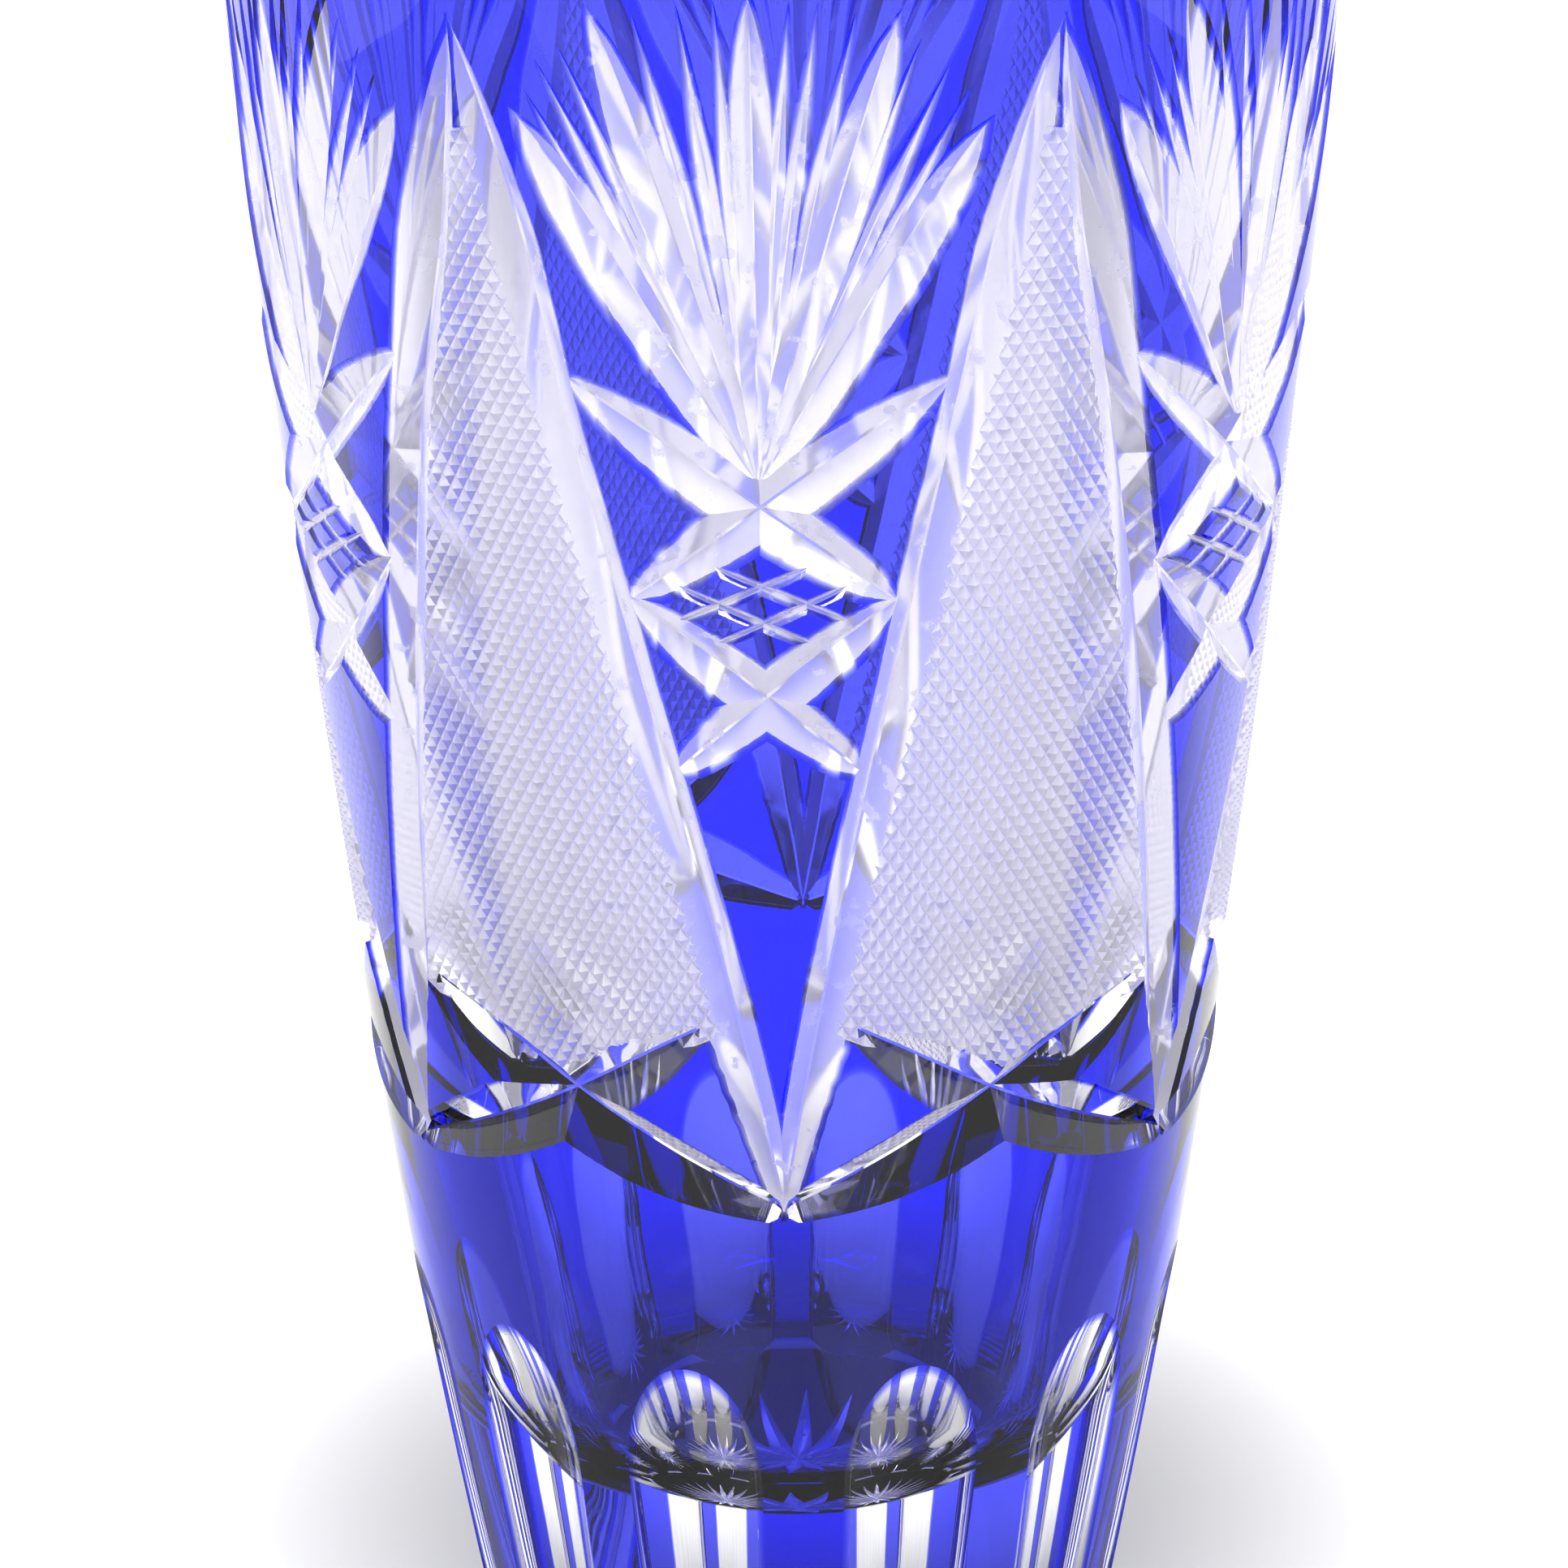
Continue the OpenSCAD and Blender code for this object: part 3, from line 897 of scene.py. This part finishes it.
def glass_base(name):
    """A glass with one Principled shader, unseen where it is fused to the other glass."""
    material = bpy.data.materials.get(name)
    if material:
        return material, None
    material = bpy.data.materials.new(name)
    material.use_nodes = True
    nodes, links = material.node_tree.nodes, material.node_tree.links
    shader = nodes["Principled BSDF"]
    shader.inputs["Transmission Weight"].default_value = 1
    shader.inputs["IOR"].default_value = IOR
    finish = nodes.new("ShaderNodeGroup")
    finish.node_tree = wheel_finish()
    finish.inputs["Silk"].default_value = bpy.context.scene.vase_glass.silk
    finish.inputs["Frost"].default_value = bpy.context.scene.vase_glass.frost
    ripple = nodes.new("ShaderNodeBump")
    ripple.inputs["Strength"].default_value = RIPPLE_STRENGTH
    ripple.inputs["Distance"].default_value = RIPPLE_DEPTH
    links.new(finish.outputs["Roughness"], shader.inputs["Roughness"])
    links.new(finish.outputs["Height"], ripple.inputs["Height"])
    links.new(ripple.outputs["Normal"], shader.inputs["Normal"])
    shown = nodes.new("ShaderNodeAttribute")
    shown.attribute_name = "shown"
    links.new(shown.outputs["Fac"], shader.inputs["Alpha"])
    return material, shader


def clear_crystal():
    """Heavy clear crystal."""
    material, shader = glass_base("polished_crystal")
    if shader:
        tint = bpy.context.scene.vase_glass.clear
        shader.inputs["Base Color"].default_value = (*tint, 1)
    return material


def cut_crystal(name, clearness):
    """The same crystal where a wheel has cut it: part of the light is scattered at once."""
    material, shader = glass_base(name)
    if shader:
        shader.inputs["Base Color"].default_value = (*bpy.context.scene.vase_glass.cut_face, 1)
        shader.inputs["Transmission Weight"].default_value = clearness
    return material


def blue_casing():
    """Thin blue glass, which takes its colour from its thickness."""
    material, shader = glass_base("cobalt_glass")
    if shader:
        shader.inputs["Base Color"].default_value = (1, 1, 1, 1)
        nodes, links = material.node_tree.nodes, material.node_tree.links
        absorb = nodes.new("ShaderNodeVolumeAbsorption")
        absorb.inputs["Color"].default_value = (*bpy.context.scene.vase_glass.blue, 1)
        absorb.inputs["Density"].default_value = bpy.context.scene.vase_glass.blue_strength
        links.new(absorb.outputs["Volume"], nodes["Material Output"].inputs["Volume"])
    return material


# ---------------------------------------------------------------- the studio

# A lamp's distance to one side, its place in depth and its height, and its width, in metres
LAMP_PLACE, LAMP_SIZE = (0.5, -0.56, 1.3), 0.45
# Half the floor's width and depth, in metres, and the brightness past its edge
FLOOR_HALF, BACKDROP = (1.2, 0.8), 1.2
# Centre of the shadow painted on the floor round the vase, how far from there the painted shadow
# starts to lighten and where it ends
PAINTED_SHADOW_CENTRE, PAINTED_SHADOW_FROM, PAINTED_SHADOW_TO = (0, 0.05, 0), 0.03, 0.165
# How far behind the vase the shade painted on the floor that the glass shows ends, at full lightness
GLASS_PAINTED_SHADE_TO = 0.22
# Where across the room, from in front to behind, the light turns from weak to strong
ROOM_FROM, ROOM_TO = -0.7, 0.5
# Width of the camera's sensor in mm, and how far its frame is shifted
SENSOR_MM, SHIFT = 36, -0.0043
# How often light may be bent or reflected, and pass a fused face
BOUNCES, CLEAR_BOUNCES = 32, 48


def plain_sheet(name, centre, across, up):
    """A flat four-cornered sheet: its centre plus and minus half its width and its depth."""
    centre, across, up = (np.array(v, float) for v in (centre, across, up))
    corners = [centre - across - up, centre + across - up, centre + across + up,
               centre - across + up]
    mesh = bpy.data.meshes.new(name)
    mesh.from_pydata([tuple(c) for c in corners], [], [(0, 1, 2, 3)])
    thing = bpy.data.objects.new(name, mesh)
    bpy.context.scene.collection.objects.link(thing)
    return thing


def plain_paint(name, shade):
    """A matt paint of one shade of grey for the studio."""
    paint = bpy.data.materials.new(name)
    paint.use_nodes = True
    shader = paint.node_tree.nodes["Principled BSDF"]
    shader.inputs["Base Color"].default_value = (shade, shade, shade, 1)
    shader.inputs["Roughness"].default_value = 0.9
    shader.inputs["Specular IOR Level"].default_value = 0.0
    return paint


def make_floor():
    """A pale floor with a shadow painted round the vase for the camera, and painted shade that makes
    the floor near by and in front darker as the glass shows it.
    """
    stage = bpy.context.scene.vase_stage
    wide, deep = FLOOR_HALF
    floor = plain_sheet("studio_floor", (0, 0, 0), (wide, 0, 0), (0, deep, 0))
    paint = plain_paint("floor_paint", stage.floor_shade)
    nodes, links = paint.node_tree.nodes, paint.node_tree.links
    place, parts = nodes.new("ShaderNodeTexCoord"), nodes.new("ShaderNodeSeparateXYZ")
    path, shade = nodes.new("ShaderNodeLightPath"), nodes.new("ShaderNodeMapRange")
    seen = nodes.new("ShaderNodeMix")
    # Painted shade for the glass: rays that are not the camera's see the floor darker in front and
    # near the vase, lighter behind it
    shade.interpolation_type = "SMOOTHSTEP"
    shade.inputs["From Min"].default_value = 0.0
    shade.inputs["From Max"].default_value = GLASS_PAINTED_SHADE_TO
    shade.inputs["To Min"].default_value = stage.painted_shade_floor_in_glass
    shade.inputs["To Max"].default_value = stage.floor_shade
    links.new(place.outputs["Object"], parts.inputs["Vector"])
    links.new(parts.outputs["Y"], shade.inputs["Value"])
    links.new(path.outputs["Is Camera Ray"], seen.inputs["Factor"])
    links.new(shade.outputs["Result"], seen.inputs["A"])
    # Painted shadow for the camera: the floor is painted darker round a point just behind the vase
    away, painted_shadow_ramp = nodes.new("ShaderNodeVectorMath"), nodes.new("ShaderNodeMapRange")
    away.operation = "DISTANCE"
    away.inputs[1].default_value = PAINTED_SHADOW_CENTRE
    painted_shadow_ramp.interpolation_type = "SMOOTHSTEP"
    painted_shadow_ramp.inputs["From Min"].default_value = PAINTED_SHADOW_FROM
    painted_shadow_ramp.inputs["From Max"].default_value = PAINTED_SHADOW_TO
    painted_shadow_ramp.inputs["To Min"].default_value = stage.painted_shadow_floor
    painted_shadow_ramp.inputs["To Max"].default_value = stage.floor_shade
    links.new(place.outputs["Object"], away.inputs[0])
    links.new(away.outputs["Value"], painted_shadow_ramp.inputs["Value"])
    links.new(painted_shadow_ramp.outputs["Result"], seen.inputs["B"])
    links.new(seen.outputs["Result"], nodes["Principled BSDF"].inputs["Base Color"])
    floor.data.materials.append(paint)


def make_world():
    """White where the camera looks past the vase, and soft light, stronger behind it."""
    world = bpy.data.worlds.new("studio_world")
    bpy.context.scene.world = world
    world.use_nodes = True
    nodes, links = world.node_tree.nodes, world.node_tree.links
    background = nodes["Background"]
    path = nodes.new("ShaderNodeLightPath")
    strength = nodes.new("ShaderNodeMix")
    strength.inputs["B"].default_value = BACKDROP
    place, parts = nodes.new("ShaderNodeTexCoord"), nodes.new("ShaderNodeSeparateXYZ")
    across = nodes.new("ShaderNodeMapRange")
    across.interpolation_type = "SMOOTHSTEP"
    across.inputs["From Min"].default_value = ROOM_FROM
    across.inputs["From Max"].default_value = ROOM_TO
    across.inputs["To Min"].default_value = bpy.context.scene.vase_stage.sky_front
    across.inputs["To Max"].default_value = bpy.context.scene.vase_stage.sky
    links.new(place.outputs["Generated"], parts.inputs["Vector"])
    links.new(parts.outputs["Y"], across.inputs["Value"])
    links.new(across.outputs["Result"], strength.inputs["A"])
    links.new(path.outputs["Is Camera Ray"], strength.inputs["Factor"])
    links.new(strength.outputs["Result"], background.inputs["Strength"])
    background.inputs["Color"].default_value = (1, 1, 1, 1)


def aimed(place, target):
    """Turn of a lamp or camera at place so that it looks at target."""
    return (Vector(target) - Vector(place)).to_track_quat("-Z", "Y")


def make_lamp(name, place, target, size, power):
    """A soft square lamp."""
    data = bpy.data.lights.new(name, "AREA")
    data.size = size
    data.energy = power
    lamp = bpy.data.objects.new(name, data)
    lamp.location = place
    lamp.rotation_mode = "QUATERNION"
    lamp.rotation_quaternion = aimed(place, target)
    bpy.context.scene.collection.objects.link(lamp)
    return lamp


def make_camera():
    """The camera, which looks a little down on the vase from its front."""
    stage = bpy.context.scene.vase_stage
    target = Vector((0, 0, stage.look_height))
    back = Vector((np.sin(stage.azimuth) * np.cos(stage.elevation),
                   -np.cos(stage.azimuth) * np.cos(stage.elevation), np.sin(stage.elevation)))
    data = bpy.data.cameras.new("camera")
    data.lens = stage.lens
    data.sensor_width = SENSOR_MM
    data.shift_x = SHIFT
    camera = bpy.data.objects.new("camera", data)
    camera.location = target + back * stage.distance
    camera.rotation_mode = "QUATERNION"
    camera.rotation_quaternion = aimed(camera.location, target) @ Quaternion((0, 0, 1), stage.roll)
    bpy.context.scene.collection.objects.link(camera)
    bpy.context.scene.camera = camera


# ---------------------------------------------------------------- operators and panel


class VASE_OT_stage(bpy.types.Operator):
    """Make the floor, the light and the camera"""

    bl_idname = "vase.stage"
    bl_label = "Studio"

    def execute(self, context):
        make_floor()
        make_world()
        stage = context.scene.vase_stage
        aside, ahead, above = LAMP_PLACE
        for name, way in (("left_lamp", -1), ("right_lamp", 1)):
            make_lamp(name, (way * aside, ahead, above), (0, 0, 0), LAMP_SIZE, stage.lamp)
        make_camera()
        context.scene.view_settings.view_transform = "Standard"
        paths = context.scene.cycles
        paths.max_bounces = BOUNCES
        paths.transmission_bounces = BOUNCES
        paths.transparent_max_bounces = CLEAR_BOUNCES
        return {"FINISHED"}


class VASE_OT_body(bpy.types.Operator):
    """Make the clear crystal body with all its cuts"""

    bl_idname = "vase.body"
    bl_label = "Crystal body"

    def execute(self, context):
        glass = context.scene.vase_glass
        make_piece("crystal_body", "clear_crystal", clear_crystal(),
                   cut_crystal("wheel_cut_crystal", glass.cut_clearness),
                   cut_crystal("ground_crystal", glass.ground_clearness))
        return {"FINISHED"}


class VASE_OT_collar(bpy.types.Operator):
    """Make the blue collar between the rim, the fans and the spires"""

    bl_idname = "vase.collar"
    bl_label = "Collar casing"

    def execute(self, context):
        make_piece("collar_casing", "blue_casing", blue_casing())
        return {"FINISHED"}


class VASE_OT_foot(bpy.types.Operator):
    """Make the blue foot between the crossed leaves and the flutes"""

    bl_idname = "vase.foot"
    bl_label = "Foot casing"

    def execute(self, context):
        make_piece("foot_casing", "blue_casing", blue_casing())
        return {"FINISHED"}


def make_islands(kind):
    """One kind of blue island in each of the six columns."""
    for k in range(1, COLUMNS + 1):
        make_piece(f"{kind}_{k}", "blue_casing", blue_casing())


class VASE_OT_upper_wedges(bpy.types.Operator):
    """Make the pairs of blue wedges beside the upper crosses"""

    bl_idname = "vase.upper_wedges"
    bl_label = "Upper wedges"

    def execute(self, context):
        make_islands("upper_wedges")
        return {"FINISHED"}


class VASE_OT_lattices(bpy.types.Operator):
    """Make the blue lozenges of the six cross-cut diamonds"""

    bl_idname = "vase.lattices"
    bl_label = "Diamond lattices"

    def execute(self, context):
        make_islands("diamond_lattice")
        return {"FINISHED"}


class VASE_OT_lower_wedges(bpy.types.Operator):
    """Make the pairs of blue wedges beside the lower crosses"""

    bl_idname = "vase.lower_wedges"
    bl_label = "Lower wedges"

    def execute(self, context):
        make_islands("lower_wedges")
        return {"FINISHED"}


class VASE_OT_shields(bpy.types.Operator):
    """Make the blue shields between the long mitres"""

    bl_idname = "vase.shields"
    bl_label = "Shields"

    def execute(self, context):
        make_islands("shield")
        return {"FINISHED"}


class VASE_OT_triangles(bpy.types.Operator):
    """Make the pairs of blue triangles beside the crossed leaves"""

    bl_idname = "vase.triangles"
    bl_label = "Base triangles"

    def execute(self, context):
        make_islands("base_triangles")
        return {"FINISHED"}


STEPS = (VASE_OT_stage, VASE_OT_body, VASE_OT_collar, VASE_OT_foot, VASE_OT_upper_wedges,
         VASE_OT_lattices, VASE_OT_lower_wedges, VASE_OT_shields, VASE_OT_triangles)
GROUPS = {"vase_form": VaseForm, "vase_cuts": VaseCuts, "vase_glass": VaseGlass,
          "vase_stage": VaseStage}


class VASE_PT_panel(bpy.types.Panel):
    """Lists the sizes and the pieces of the vase"""

    bl_idname = "VASE_PT_panel"
    bl_label = "Cut Crystal Vase"
    bl_space_type = "VIEW_3D"
    bl_region_type = "UI"
    bl_category = "Vase"

    def draw(self, context):
        for step in STEPS:
            self.layout.operator(step.bl_idname)
        for name, group in GROUPS.items():
            box = self.layout.box()
            for each in group.__annotations__:
                box.prop(getattr(context.scene, name), each)


def register():
    for each in (*GROUPS.values(), *STEPS, VASE_PT_panel):
        bpy.utils.register_class(each)
    for name, group in GROUPS.items():
        setattr(bpy.types.Scene, name, bpy.props.PointerProperty(type=group))


def unregister():
    for name in GROUPS:
        delattr(bpy.types.Scene, name)
    for each in reversed((*GROUPS.values(), *STEPS, VASE_PT_panel)):
        bpy.utils.unregister_class(each)


def main():
    register()
    bpy.ops.vase.stage()
    bpy.ops.vase.body()
    bpy.ops.vase.collar()
    bpy.ops.vase.foot()
    bpy.ops.vase.upper_wedges()
    bpy.ops.vase.lattices()
    bpy.ops.vase.lower_wedges()
    bpy.ops.vase.shields()
    bpy.ops.vase.triangles()


if __name__ == "__main__":
    main()
